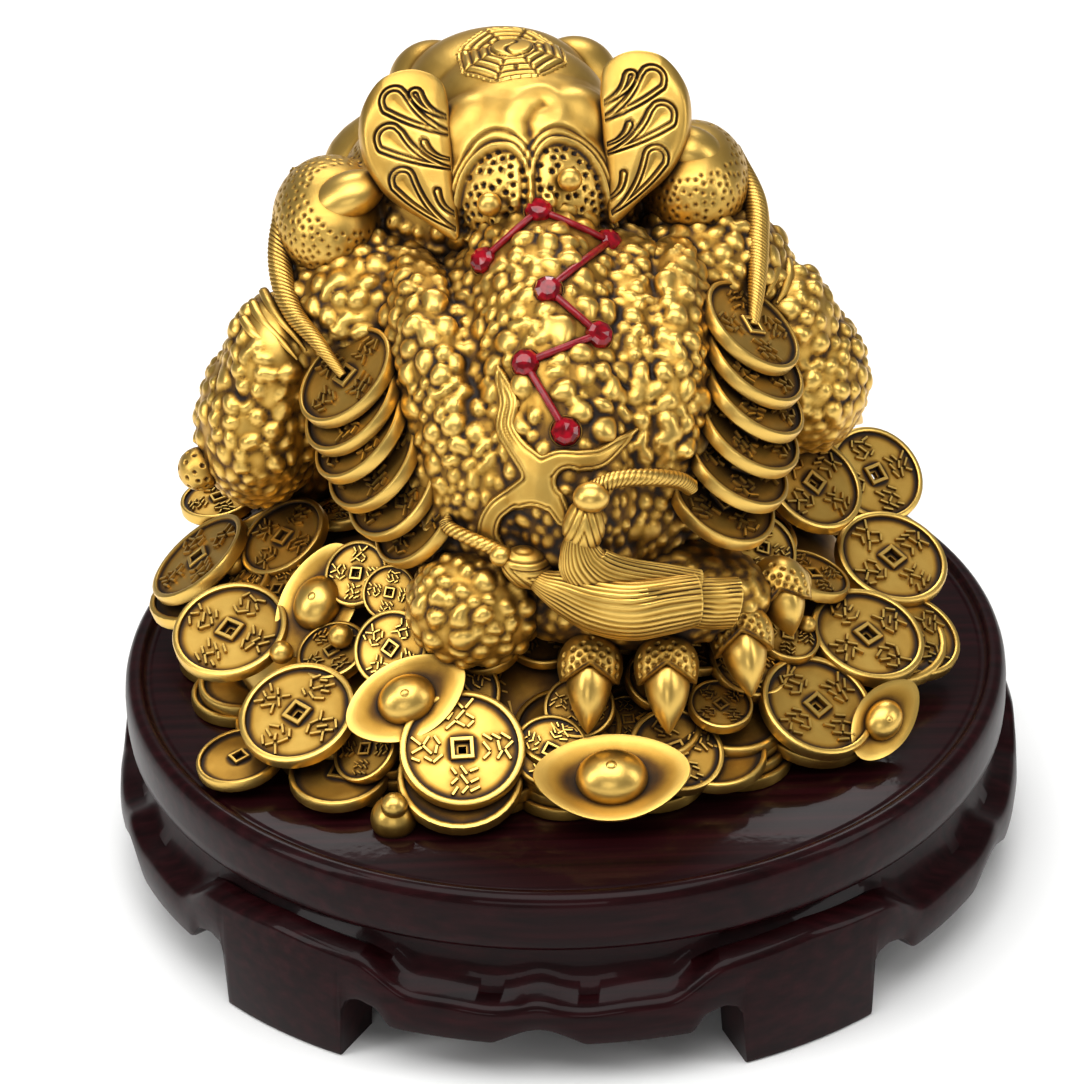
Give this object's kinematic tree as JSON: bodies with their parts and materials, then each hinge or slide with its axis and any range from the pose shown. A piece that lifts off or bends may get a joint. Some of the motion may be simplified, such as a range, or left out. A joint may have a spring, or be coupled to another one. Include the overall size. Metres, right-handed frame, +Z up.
{
  "type": "money toad figure",
  "caption": "Cast brass toad with strings of coins sitting on a heap of cash coins and ingots, on a round lacquered wooden stand with scrolled feet.",
  "frame": {"origin": "on the table under the middle of the round stand", "axes": "+Z up; the toad faces -Y, so its tail side faces +Y and its left side is +X"},
  "size_m": [0.2978, 0.2976, 0.2646],
  "materials": {
    "cast_brass": "cast and hand polished on the high spots, with dark olive patina in the hollows",
    "lacquered_wood": "dark burgundy gloss lacquer",
    "red_glass": "faceted, foil backed, polished"
  },
  "bodies": {
    "root": {"toad": "cast_brass", "stand_top": "lacquered_wood", "stand_base": "lacquered_wood", "gem_1": "red_glass", "gem_2": "red_glass", "gem_3": "red_glass", "gem_4": "red_glass", "gem_5": "red_glass", "gem_6": "red_glass", "gem_7": "red_glass"}
  },
  "joints": []
}
